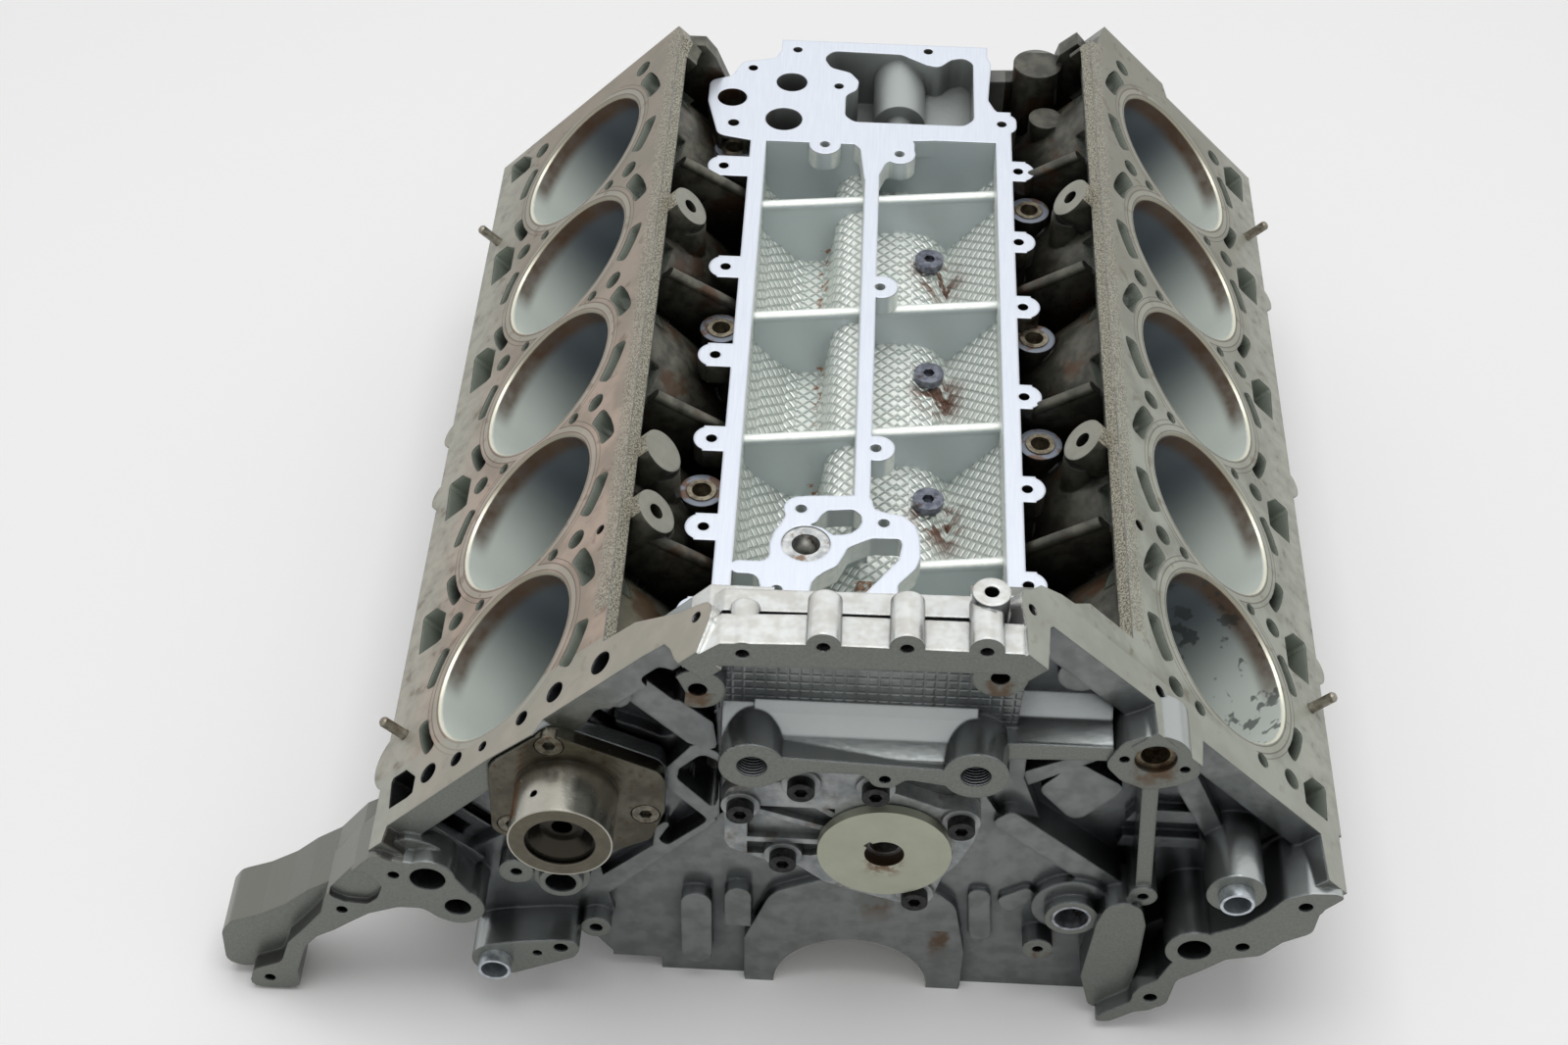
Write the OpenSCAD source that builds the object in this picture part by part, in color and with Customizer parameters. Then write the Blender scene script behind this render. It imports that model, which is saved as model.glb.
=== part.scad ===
// Upper crankcase of a five-by-two cylinder V engine, with the pieces that stay fitted to it.
// X runs across the engine, Y along the crankshaft away from the chain end, Z up.
// The origin is on the crankshaft axis, level with the first left cylinder.

/* [Cylinders] */
// Cylinder bore diameter
bore_d = 84.5; // [80:0.1:86]
// Distance between neighbouring cylinders of a bank
bore_pitch = 90; // [88:0.5:94]
// Cylinders in each bank
bank_count = 5; // [3:1:6]
// How far the right bank stands behind the left one
bank_offset = 18.5; // [16:0.5:20]
// Crankshaft axis to deck face
deck_height = 228; // [224:1:234]
// Chamfer at the mouth of each bore
bore_chamfer = 1.2; // [0.5:0.1:2]

/* [Banks] */
// Thickness of the deck plate
deck_t = 14; // [10:1:18]
// Bore line to the deck's valley edge
deck_inner = 70; // [66:1:76]
// Bore line to the deck's outer edge
deck_outer = 77; // [74:1:82]
// Thickness of the lip along the deck's valley edge
lip_t = 6.5; // [5:0.5:9]
// Radius of the cast jacket around each cylinder
barrel_r = 60; // [57:1:62]
// Bore line to the flat wall between the cylinder jackets
jacket_inner = 42; // [38:1:46]
// Bore line to the jacket wall on the outer side
jacket_outer = 64; // [61:1:68]
// Machined pad on the front of the left bank
left_front = -57; // [-59:0.5:-55]
// Front edge of the right deck
right_front = -46; // [-48:0.5:-44]
// Cast front wall of the left bank
left_wall = -49; // [-51:0.5:-47]
// Cast front wall of the right bank
right_wall = -38; // [-40:0.5:-36]

/* [Head fixing] */
// Radius of the cylinder head bolt holes
head_bolt_r = 5; // [4:0.25:6]
// Depth of the cylinder head bolt holes
head_bolt_depth = 40; // [25:1:60]
// Head bolt row to the bore line
head_bolt_u = 41.5; // [40:0.5:44]
// Radius of the head locating pins
dowel_r = 2.5; // [2:0.25:3.5]
// Length of a head locating pin above the deck
dowel_proud = 13.5; // [8:0.5:16]
// Depth to which a head locating pin is driven
dowel_sunk = 10; // [6:0.5:16]

/* [Water passages] */
// Inner radius of the kidney slots on the valley side
kidney_inner_r = 51; // [50:0.5:54]
// Width of the kidney slots on the valley side
kidney_inner_w = 9.2; // [6:0.2:10]
// Inner radius of the kidney slots on the outer side
kidney_outer_r = 50; // [48:0.5:52]
// Width of the kidney slots on the outer side
kidney_outer_w = 6.6; // [4:0.2:8]
// Depth of the kidney slots
kidney_depth = 22; // [12:1:30]
// Depth of the drain windows along the outer edge
window_depth = 34; // [20:1:44]

/* [Crankcase] */
// Radius of the main bearing seats
main_r = 34.5; // [32:0.5:36]
// Radius of the front crankshaft opening
nose_r = 36; // [35:0.5:40]
// Thickness of the main bearing walls
web_t = 22; // [18:1:26]
// Radius swept by the crankshaft
crank_room_r = 80; // [76:1:84]
// Half the width of the crankcase inside
crank_room_w = 96; // [90:1:100]
// Half the width of the joint face underneath
skirt_w = 112; // [108:1:118]
// Front face of the crankcase wall
wall_front = -51.5; // [-53:0.5:-50]
// Rear face of the block
rear_face = 446; // [440:1:460]
// Radius of the main bolt holes
main_bolt_r = 5.5; // [4.5:0.25:7]

/* [Valley gallery] */
// Height of the machined gallery rail
rail_z = 185; // [180:1:190]
// Half the width of the gallery housing
rail_w = 70; // [68:1:72]
// Width of the rail along the sides
rail_t = 8.5; // [6:0.5:10]
// Height of the cross ribs in the gallery
rib_z = 172; // [166:1:178]
// Thickness of the cross ribs
rib_t = 5; // [4:0.5:7]
// Radius of the bead along the top of a cross rib
rib_bead_r = 2.9; // [2.6:0.1:4]
// Radius of the lugs along the rail
lug_r = 8.5; // [7:0.5:10]
// Radius of the tapped holes in the rail
rail_hole_r = 2.6; // [2:0.2:3.5]

/* [Chain case] */
// Face that the chain cover bolts to
flange_y = -74; // [-76:0.5:-72]
// Radius of the cover bolt holes
cover_hole_r = 3.2; // [2.5:0.1:4]
// Height of the bridge between the banks at the middle
bridge_z = 259; // [256:0.5:262]
// Radius of the two large front bolt holes
mount_hole_r = 6.5; // [5:0.25:8]
// Half the distance between the two large front bolt holes
mount_x = 46.7; // [44:0.1:50]
// Height of the two large front bolt holes
mount_z = 182.7; // [180:0.1:186]

/* [Idler axle] */
// Diameter of the idler journal
journal_d = 45; // [42:0.5:48]
// Length of the idler journal in front of its plate
journal_l = 26.5; // [22:0.5:32]
// Thickness of the idler plate
plate_t = 6.5; // [5:0.5:9]

/* [Balance shaft] */
// Radius of the shaft tunnel
tunnel_r = 26; // [24:0.5:27]
// Radius of the shaft journals
shaft_r = 16; // [14:0.5:19]
// Running clearance of the journals, on the radius
running_gap = 0.05; // [0.03:0.01:0.1]
// Radius of the hub disc
hub_r = 29.5; // [27:0.5:32]
// Thickness of the hub disc
hub_t = 4.5; // [4:0.5:6]
// Radius of the bore through the hub disc
hub_bore_r = 8.6; // [6:0.2:10]

/* [Fasteners] */
// Radius of the socket screw heads
screw_head_r = 6; // [5:0.25:7]
// Height of the socket screw heads
screw_head_h = 5; // [4:0.5:8]
// Radius of the screw threads
screw_r = 3; // [2.5:0.25:4]
// Outer radius of the locating sleeves
sleeve_r = 7.5; // [6:0.25:9]
// Wall of the locating sleeves
sleeve_t = 1.4; // [1:0.1:2]
// Length of a sleeve in front of its boss
sleeve_proud = 6; // [3:0.5:9]

/* [Fits] */
// Clearance of a pressed or dropped-in piece in its hole, on the radius
fit_gap = 0.1; // [0.05:0.05:0.2]
// Clearance of a screw in its hole, on the radius
screw_gap = 0.3; // [0.2:0.05:0.5]

/* [Fittings] */
// Radius of the valve bush in the gallery's front plate
valve_r = 11; // [10:0.25:11.5]
// Radius of the valve ball
ball_r = 5.5; // [4.5:0.25:6]
// Radius of the bushes in the sockets beside the gallery
socket_r = 7; // [6:0.25:8]
// Outer radius of the socket bosses
socket_boss_r = 10.5; // [9.5:0.25:12]
// Radius of the jets' threads
jet_r = 3.8; // [3:0.1:4.5]
// Radius of the jets' heads
jet_head_r = 7.5; // [6:0.25:8.5]
// Radius of the insert in the port under the right arm
port_r = 8.9; // [7:0.1:9.5]
// Radius of the tube in the lower port
tube_r = 9; // [7.5:0.1:10]
// Wall of that tube
tube_t = 1.4; // [1:0.1:2]
// Depth to which the locating sleeves are pressed in
sleeve_sunk = 12; // [8:0.5:14]

/* [Hidden] */
$fn = 48;
eps = 0.02;
bore_r = bore_d / 2;
bank_length = (bank_count - 1) * bore_pitch;
// Middle of the two bank starts, and the main bearing walls half a pitch to each side of it
crank_mid = bank_offset / 2;
web_y = [for (i = [0:bank_count]) crank_mid + (i - 0.5) * bore_pitch];
tunnel_x = 11.5;
tunnel_z = 114;
hub_front = wall_front - 13;
shaft_nose_r = 12;
sleeve_left = [-163.5, 33.5];
sleeve_right = [165.5, 109.5];
port_at = [122, 184];
tube_at = [98, 69];
valve_at = [-29, 54];
valve_floor = 160;
jets_at = [for (i = [0:2]) [28, 119 + i * bore_pitch]];
big_boss_r = 14;

// Points of an arc about c, from angle a0 to a1, in n steps
function arc(c, r, a0, a1, n = 6) =
    [for (i = [0:n]) c + r * [cos(a0 + (a1 - a0) * i / n), sin(a0 + (a1 - a0) * i / n)]];

function polar(r, a) = [r * cos(a), r * sin(a)];

// An outline with its corners rounded to radius r, or to what the shorter side beside each allows
function soften(p, r, n = 3) =
    [for (i = [0:len(p) - 1])
        each fillet(p[(i + len(p) - 1) % len(p)], p[i], p[(i + 1) % len(p)], r, n)];

// The arc that replaces corner b between the neighbours a and c
function fillet(a, b, c, r, n) =
    let (u = (a - b) / norm(a - b),
        v = (c - b) / norm(c - b),
        half_angle = acos(max(-1, min(1, u * v))) / 2)
    half_angle > 80
        ? [b]
        : let (reach = min(r / tan(half_angle), 0.42 * min(norm(a - b), norm(c - b))),
            centre = b + (u + v) / norm(u + v) * reach / cos(half_angle),
            from = b + u * reach - centre,
            start = atan2(from.y, from.x),
            turn = (u.x * v.y - u.y * v.x > 0 ? -1 : 1) * (180 - 2 * half_angle))
        arc(centre, norm(from), start, start + turn, n);

// Extrudes an outline drawn in X and Z between two places along the crankshaft
module along_y(front, rear) {
    translate([0, rear, 0])
        rotate([90, 0, 0])
            linear_extrude(rear - front)
                children();
}

// Extrudes an outline drawn in Y and Z between two places across the engine
module across(x0, x1) {
    translate([x0, 0, 0])
        rotate([90, 0, 90])
            linear_extrude(x1 - x0)
                children();
}

// Cylinder along Y
module rod_y(x, z, r, front, rear) {
    translate([x, rear, z])
        rotate([90, 0, 0])
            cylinder(r = r, h = rear - front);
}

// Bank space: X is outwards across the deck, Y along the crankshaft, Z up the cylinder bores
module bank(side) {
    mirror([side < 0 ? 1 : 0, 0, 0])
        rotate([0, 45, 0])
            children();
}

function bank_start(side) = side < 0 ? 0 : bank_offset;
function bank_wall(side) = side < 0 ? left_wall : right_wall;
function bore_y(side, i) = bank_start(side) + i * bore_pitch;

// Cross-section of the crankcase with the gallery housing on top of it
module core_section() {
    side = [[skirt_w, 0], [skirt_w, 12], [128.5, 38], [112, 70], [80, 120], [rail_w, 150], [rail_w, rail_z]];
    polygon(concat(side, [for (i = [len(side) - 1:-1:0]) [-side[i].x, side[i].y]]));
}

// Cross-section of one bank, across the bores
module bank_section() {
    polygon([[deck_outer, deck_height], [deck_outer, deck_height - deck_t], [jacket_outer, deck_height - 24],
        [jacket_outer, 118], [46, 92], [40, 60], [-30, 60], [-jacket_inner, 90],
        [-jacket_inner, deck_height]]);
}

// Outline of the left deck, with the arm that carries it to the bridge
module deck_left() {
    polygon(concat([[deck_outer, flange_y + 4], [68, flange_y + 4], [66, -62], [0, -60], [-30, -62],
        [-36, -57],
        [-97, -57], [-110, -58], [-114, -63], [-117, -70], [-119.8, flange_y], [-129.9, flange_y],
        [-136, -60]],
        arc([-130, -55], 7, 210, 100, 4),
        [[-117, -45], [-90, -34], [-deck_inner, -33], [-deck_inner, 400], [-73, 406], [-68, 420],
        [deck_outer, 420]]));
    for (y = [150, 195])
        translate([73, y]) circle(9);
    translate([66, -22]) circle(18);
}

// Outline of the right deck, with its arm
module deck_right() {
    polygon(concat([[75, flange_y + 4], [62, flange_y + 4], [60, right_front], [-25, right_front], [-27, -61],
        [-57, -62], [-58, right_front], [-124, -48], [-126, -50], [-128.4, flange_y], [-140.4, flange_y],
        [-141, -60]], arc([-135, -46], 9, 200, 110, 4),
        [[-131, -30], [-118, -26], [-109, -25], [-99, -18], [-deck_inner, -18], [-deck_inner, 420],
        [-63, 424], [-60, 435], [-55, 449], [-3, 449], [0, 439], [deck_outer, 439]]));
    for (y = [60, 185, 330])
        translate([73, y]) circle(9);
}

module bank_body(side) {
    along_y(bank_wall(side), side < 0 ? 418 : 437)
        bank_section();
    translate([0, 0, deck_height - deck_t])
        linear_extrude(deck_t)
            if (side < 0) deck_left(); else deck_right();
    // Oil drains down the outer wall under the windows, with a stiffening rib between them
    for (w = windows(side))
        translate([jacket_outer - 8, w[0] - 5, deck_height - window_depth - 14])
            cube([deck_outer - jacket_outer + 5, w[1] - w[0] + 10, window_depth + 8]);
    for (i = [0:bank_count - 1]) {
        translate([jacket_outer - 10, bore_y(side, i), 160])
            rotate([0, 90, 0]) cylinder(r = 19, h = 14);
        translate([jacket_outer - 8, bore_y(side, i) - 3, 122])
            cube([14, 6, deck_height - deck_t - 122 + eps]);
    }
    translate([jacket_outer - 8, bank_wall(side) + 4, 138])
        cube([13, bank_length + 80, 6]);
}

// Cylinder bores with their mouth chamfers
module bank_bores(side) {
    for (i = [0:bank_count - 1])
        translate([0, bore_y(side, i), 66]) {
            cylinder(r = bore_r, h = deck_height);
            translate([0, 0, deck_height - 66 - bore_chamfer])
                cylinder(r1 = bore_r, r2 = bore_r + bore_chamfer + 1, h = bore_chamfer + 1);
        }
}

// Curved water slot between two angles about the bore
module kidney(r, w, a0, a1) {
    outline = concat(arc([0, 0], r + w, a0, a1, 4), arc([0, 0], r, a1, a0, 4));
    translate([0, 0, deck_height - kidney_depth])
        linear_extrude(kidney_depth + 1)
            polygon(soften(outline, w * 0.35));
}

module deck_hole(u, y, r, depth) {
    translate([u, y, deck_height - depth])
        cylinder(r = r, h = depth + 1);
}

// Oil drain window, cut off at the corner beside the bore
module window(y0, y1) {
    translate([0, 0, deck_height - window_depth])
        linear_extrude(window_depth + 1)
            polygon([[51, y0 + 1], [51, y1 - 8], [59, y1], [68, y1], [69, y1 - 2], [67, y0], [54, y0]]);
}

module bank_cuts(side) {
    start = bank_start(side);
    bank_bores(side);
    for (i = [0:bank_count - 1])
        translate([0, bore_y(side, i), 0]) {
            kidney(kidney_inner_r, kidney_inner_w, 192, 216);
            kidney(kidney_inner_r, kidney_inner_w, 142, 169);
            kidney(kidney_outer_r, kidney_outer_w, -36, -11);
            kidney(kidney_outer_r, kidney_outer_w, 11, 34);
        }
    for (i = [0:bank_count], u = [-head_bolt_u, head_bolt_u])
        deck_hole(u, start + (i - 0.5) * bore_pitch, head_bolt_r, head_bolt_depth);
    for (i = [0:bank_count - 2]) {
        deck_hole(-26, start + (i + 0.5) * bore_pitch, 3.2, 20);
        deck_hole(24.5, start + (i + 0.5) * bore_pitch, 3, 20);
    }
    for (w = windows(side))
        window(w[0], w[1]);
    if (side < 0) {
        deck_hole(4, -50, 2.5, 20);
        deck_hole(-21, -48, 3.6, 20);
        deck_hole(22, -47.5, 3.6, 20);
        deck_hole(-128, -54, 2.6, 12);
        deck_hole(-58, 40.5, 2.5, 12);
        deck_hole(-70, -45, 5.6, 12);
    } else {
        deck_hole(-25, -28, 3.6, 20);
        deck_hole(20, -29, 3.6, 20);
        deck_hole(-53.5, -37, 3, 20);
        deck_hole(-59, 57, 2.8, 12);
        deck_hole(-137, -47.7, 2.6, 12);
    }
    for (d = dowel_places(side))
        deck_hole(d.x, d.y, dowel_r + fit_gap, dowel_sunk);
    // Tapped holes in the bosses on the valley side of the bank
    for (i = [0, 1])
        translate([-boss_face - 1, boss_places(side)[i][0], boss_places(side)[i][1]])
            rotate([0, 90, 0]) cylinder(r = 3.8, h = 16);
    // Undercut below the lip along the valley
    translate([-deck_inner - 1, side < 0 ? -32 : -17, deck_height - deck_t - 1])
        difference() {
            cube([deck_inner - barrel_r, side < 0 ? 428 : 434, deck_t + 1 - lip_t]);
            for (b = boss_places(side))
                translate([-10, b[0] - (side < 0 ? -32 : -17), b[1] - deck_height + deck_t + 1])
                    rotate([0, 90, 0]) cylinder(r = boss_r, h = 30);
        }
}

function windows(side) = side < 0
    ? [[-52, -34], [39, 64], [127, 154], [220, 250], [307, 334], [397, 415]]
    : [[-35, -15], [45, 72], [137, 162], [226, 251], [317, 342], [407, 432]];

function dowel_places(side) = side < 0 ? [[66, -10], [68, 345]] : [[66, 30], [66, 375]];

// Screw bosses on the valley side of the bank, as places along the bank and up the bores
boss_face = 76;
boss_r = 11;
function boss_places(side) = side < 0 ? [[52, 212], [270, 212], [91, 212]] : [[110, 212], [289, 213]];

module bank_bosses(side) {
    // Jackets of the cylinders, which bulge into the valley
    translate([0, 0, 64])
        linear_extrude(deck_height - 66)
            intersection() {
                for (i = [0:bank_count - 1])
                    translate([0, bore_y(side, i)]) circle(barrel_r);
                translate([-barrel_r - 1, bank_wall(side) + 2])
                    square([barrel_r, bank_length - bank_wall(side) + bank_start(side) + 56]);
            }
    for (b = boss_places(side))
        translate([-boss_face, b[0], b[1]])
            rotate([0, 90, 0]) cylinder(r = boss_r, h = boss_face - 40);
}

// Cross-section of the two channels in the gallery
module channel_left() {
    polygon(concat([[-61.5, rail_z + 1], [-61.5, 156], [-57, 149], [-44, 135], [-38, 132], [-28, 132],
        [-25, 136]],
        arc([-9, 151], 14, 188, 88, 5), [[-8, rail_z + 1]]));
}

module channel_right() {
    polygon(concat([[-0.5, rail_z + 1], [-0.5, 149]], arc([tunnel_x, tunnel_z], 35, 88, 58, 3),
        [[38, 135], [61.5, 160], [61.5, rail_z + 1]]));
}

// Ribs across the channels, slanted by the offset between the banks
module cross_ribs(first, shift) {
    lean = atan2(shift, rail_w);
    for (i = [first:bank_count - 2])
        translate([0, crank_mid + bore_pitch / 2 + i * bore_pitch, 0]) {
            linear_extrude(rib_z - rib_bead_r)
                polygon([[-rail_w, -shift - rib_t / 2], [rail_w, shift - rib_t / 2],
                    [rail_w, shift + rib_t / 2],
                    [-rail_w, -shift + rib_t / 2]]);
            translate([-rail_w, -shift, rib_z - rib_bead_r])
                rotate([0, 90, lean]) cylinder(r = rib_bead_r, h = 2 * rail_w / cos(lean));
        }
}

module channels() {
    difference() {
        along_y(-30, 352) channel_left();
        cross_ribs(1, bank_offset / 2);
    }
    difference() {
        along_y(-30, 358) channel_right();
        cross_ribs(0, bank_offset / 2);
    }
    // Open space between the two channels under the front plate
    along_y(-30, 78)
        polygon([[-24, 134], [-24, rail_z + 1], [10, rail_z + 1], [10, 149], [-4, 149], [-18, 137]]);
}

// Machined plate that ties the rails together at the chain end
module gallery_front() {
    difference() {
        union() {
            polygon(soften([[-62, 34], [-50, 34], [-48, 24], [-45, 15], [-42, 8], [-42, -45], [-34, -45],
                [-34, 14], [-20, 30],
                [-3, 20], [-4, -45], [16, -45], [16, 18], [13, 25], [13, 31], [21, 41.5], [23, 48.5],
                [22.5, 60.5],
                [20.5, 68.5], [15, 74], [6, 76], [1.5, 77.5], [0, 86], [-8, 86], [-30, 84.5], [-36, 83],
                [-39, 80],
                [-40, 76], [-39, 71], [-41, 66], [-44, 60], [-45.5, 53], [-45, 42], [-62, 42]],
                5));
            translate([-32, 76]) circle(8);
            translate([-41, 24]) circle(8);
        }
        // Main opening, and the small one beside the valve
        polygon(soften([[-3.5, -46], [-3, 23], [13, 46], [14.5, 56], [13.5, 59.3], [1, 59], [-3.5, 56.5],
            [-10, 52.5],
            [-11.5, 48], [-14.5, 41], [-20, 37], [-23.5, 33.5], [-25.5, 30], [-26.5, 23], [-32.5, 19.5],
            [-34, 14], [-34, -46]], 5));
        polygon(soften([[-27, 66.5], [-24.5, 68], [-22.5, 72.5], [-20, 75.5], [-8, 76.8], [-4.5, 73.5],
            [-4, 69], [-5.5, 65],
            [-9, 61.5], [-13, 60.5], [-17, 60], [-19.5, 62], [-22, 64.5], [-27, 65.5]], 3));
    }
    for (y = [118, 235])
        translate([2, y]) circle(lug_r);
}

// Machined plate behind the channels, with the opening over the cast pipe
module gallery_rear() {
    polygon(soften([[-rail_w, 352], [-40, 352], [-20, 358], [0, 356], [20, 357], [48, 360], [60, 365],
        [73, 368],
        [73, 382], [62, 386], [58, 396], [60, 430], [56, 443], [-50, 445], [-57, 436], [-60, 428], [-78, 424],
        [-83, 410], [-95, 405], [-95, 386], [-88, 356]], 6));
    translate([-30, 351]) circle(8.5);
    translate([10, 345]) circle(8.5);
    // The divider spreads out to the lug beside it
    polygon(soften([[-8, 318], [-0.5, 326], [3, 337], [18, 345], [18, 359], [-20, 359], [-11, 348]], 5));
}

rail_lugs = [[-76, 10], [-76, 62], [-76, 120], [-78, 179], [-77, 246], [-83, 329], [71, 34], [72, 95],
    [72, 158],
    [73, 224], [72, 275], [73, 334]];
plate_holes = [[-32, 76], [6, 69], [-41, 25], [5, 18], [1.5, 118], [1.5, 235], [-30, 351], [10, 345],
    [-24, 404],
    [-72, 418], [-48, 437], [25, 440], [65, 375]];

module rail_plates() {
    translate([0, 0, rail_z - 11]) {
        linear_extrude(11) {
            gallery_front();
            gallery_rear();
            for (l = rail_lugs) {
                translate(l) circle(lug_r);
                translate([(l.x + sign(l.x) * rail_w) / 2, l.y])
                    square([abs(l.x) - rail_w + 8, 2 * lug_r], center = true);
            }
        }
    }
    // Bosses under the lugs run down the housing wall
    for (l = rail_lugs)
        translate([sign(l.x) * rail_w, l.y, 148])
            cylinder(r = 7, h = rail_z - 11 - 148 + eps);
}

// Rear chamber with the cast pipe that crosses it lengthwise
module rear_chamber() {
    difference() {
        translate([0, 0, 150])
            linear_extrude(rail_z - 149)
                polygon(soften([[-20, 377], [-15, 372], [45, 372], [50, 378], [50, 430], [45, 435],
                    [38, 433], [31, 425],
                    [24, 427], [16, 432], [10, 436], [-28, 437], [-33, 430], [-29, 421], [-18, 417],
                    [-13, 409],
                    [-14, 401], [-20, 396]], 6));
        rod_y(10, 166.5, 14.5, 393, 440);
        rod_y(10, 166.5, 7.5, 370, 394);
        across(22, 52)
            polygon([[370, 149], [370, 158], [440, 166], [440, 149]]);
    }
    for (h = [[-50, 406, 8.5], [-53, 372, 10], [-82, 390, 8]])
        translate([h[0], h[1], 150]) cylinder(r = h[2], h = 40);
    translate([-80, 367, 165]) cylinder(r = 3, h = 30);
}

// Sockets and ribs between the gallery housing and the banks
sockets = [[-79, 95], [-77, 210], [-79, 358], [80, 136], [79, 212], [79, 314]];

module valley_bodies() {
    for (s = sockets)
        translate([s.x, s.y, 120]) cylinder(r = socket_boss_r, h = 55);
    // Ribs between the cylinders, from the deck's lip down to the gallery housing
    for (side = [-1, 1], i = [0:bank_count - 2])
        translate([0, bore_y(side, i) + bore_pitch / 2, 0]) {
            along_y(-rib_t / 2, rib_t / 2)
                polygon([[side * 62, 140], [side * 62, 172], [side * rail_w, 176], [side * 107, 199],
                    [side * 120, 199], [side * 120, 140]]);
            translate([side * 64, 0, 173])
                rotate([0, side * 58.5, 0]) cylinder(r = rib_t / 2 + 0.4, h = 54);
        }
    // Upright columns under the screw bosses
    for (side = [-1, 1], b = boss_places(side))
        translate([side * 98, b[0], 140]) cylinder(r = 9.5, h = 53);
    // Short cylinders at the flywheel end of the right trough
    translate([85.3, 425.5, 150]) cylinder(r = 13.3, h = 40);
    translate([89.6, 389, 120]) cylinder(r = 9.2, h = 60);
    // Walls that close the troughs at the flywheel end
    along_y(410, 419)
        polygon([[-62, 140], [-62, 168], [-84, 176], [-92, 196], [-98, 204], [-108, 204], [-116, 190],
            [-116, 140]]);
    along_y(426, 437)
        polygon([[56, 140], [56, 176], [92, 178], [97, 196], [106, 204], [118, 190], [118, 140]]);
}

// Bridge between the banks: the cover face on top, the quilted wall and the two large bosses
module bridge() {
    strip_low = 248.5;
    along_y(flange_y, -58)
        polygon([[-75, 243.5], [-69, 251.5], [-60, bridge_z], [-26, bridge_z + 1.5], [60, bridge_z + 1.5],
            [68.5, 250.5], [65, strip_low], [-70, strip_low - 3]]);
    for (b = bridge_holes)
        rod_y(b[0], b[1], b[2], flange_y, -50);
    // Wall up to the cover face, set back at both sides
    along_y(wall_front, wall_front + 12)
        polygon([[-62, 150], [-64, 250], [-60, 254], [58, 256], [66, 246], [62, 150]]);
    along_y(-46, -34)
        polygon([[-108, 150], [-104, 210], [-66, 250], [-40, 250], [-40, 150]]);
    along_y(right_wall, right_wall + 10)
        polygon([[40, 150], [40, 250], [66, 250], [106, 210], [108, 150]]);
    along_y(-60, -40)
        polygon([[-72, 244], [-60, 252], [62, 254], [72, 246]]);
    translate([47, -50, 240]) cylinder(r = 7.7, h = 30);
    // Large bosses and the web between them, which slopes up to the wall
    for (s = [-1, 1])
        rod_y(s * mount_x, mount_z, big_boss_r, flange_y, right_wall + eps);
    along_y(flange_y, wall_front + eps)
        polygon(soften([[-mount_x, mount_z + 7], [mount_x - 12, mount_z + 3], [mount_x, mount_z + 3],
            [mount_x, mount_z - 9], [18, mount_z - 4], [12, mount_z - 10], [5, mount_z - 10],
            [0, mount_z - 2],
            [-24, mount_z - 2], [-mount_x + 8, mount_z - 11], [-mount_x, mount_z - 13]], 5));
    across(-mount_x, mount_x)
        polygon([[flange_y + 4, mount_z], [flange_y + 4, mount_z + 4], [-62, mount_z + 7],
            [-55, mount_z + 13],
            [wall_front + eps, mount_z + 17], [wall_front + eps, mount_z]]);
    across(-60, -mount_x + 4)
        polygon([[-66, mount_z], [-60, mount_z + 8], [wall_front + eps, mount_z + 15],
            [wall_front + eps, mount_z]]);
    rod_y(-70, 214, 11.5, -60, -44);
    rod_y(53.4, 229.5, 11.5, -60, -44);
}

bridge_holes = [[-51, 254.2, 6], [-19, 260.2, 7], [14, 261.5, 7], [45.5, 261.7, 7]];

module bridge_cuts() {
    for (s = [-1, 1])
        rod_y(s * mount_x, mount_z, mount_hole_r, flange_y - 1, wall_front + 4);
    for (b = bridge_holes)
        rod_y(b[0], b[1] - 1, 2.8, flange_y - 1, -56);
    rod_y(9, 178, 2.5, flange_y - 1, -60);
    rod_y(-70, 214, 4, -61, -46);
    rod_y(53.4, 229.5, 4, -61, -46);
    translate([47, -50, 255]) cylinder(r = 3, h = 20);
}

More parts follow.
